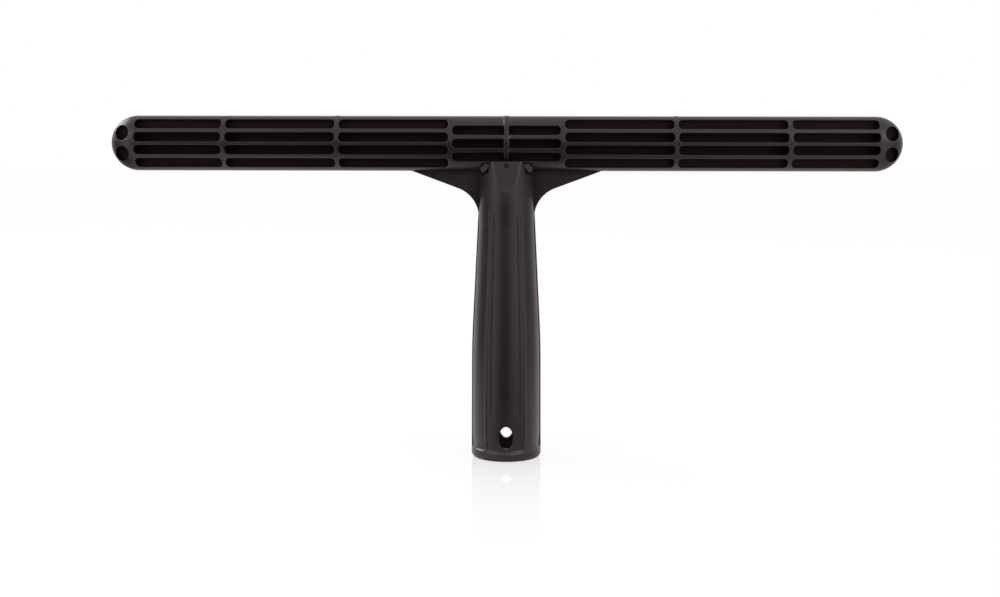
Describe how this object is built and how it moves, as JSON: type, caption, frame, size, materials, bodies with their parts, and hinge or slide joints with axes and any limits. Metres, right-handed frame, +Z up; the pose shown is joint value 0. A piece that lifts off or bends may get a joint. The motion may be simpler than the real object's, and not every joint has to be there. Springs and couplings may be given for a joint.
{
  "type": "window scrubber",
  "caption": "Fixed T-bar of a window scrubber, shown bare: an oval slotted bar, braced by two wings on a hollow handle that takes a pole.",
  "frame": {"origin": "middle of the handle's foot, on the surface that it stands on", "axes": "+X along the bar to the right of the picture, +Y from the front face to the back face, +Z up the handle to the bar"},
  "size_m": [0.35, 0.0312, 0.1528],
  "materials": {
    "handle_plastic": "fine moulded grain, satin",
    "bar_plastic": "fine moulded grain, satin",
    "pin_plastic": "plain, matte"
  },
  "bodies": {
    "root": {"handle": "handle_plastic", "core_plate": "bar_plastic", "front_shell": "bar_plastic", "back_shell": "bar_plastic", "left_pin": "pin_plastic", "centre_pin": "pin_plastic", "right_pin": "pin_plastic", "neck_pin": "pin_plastic"}
  },
  "joints": []
}
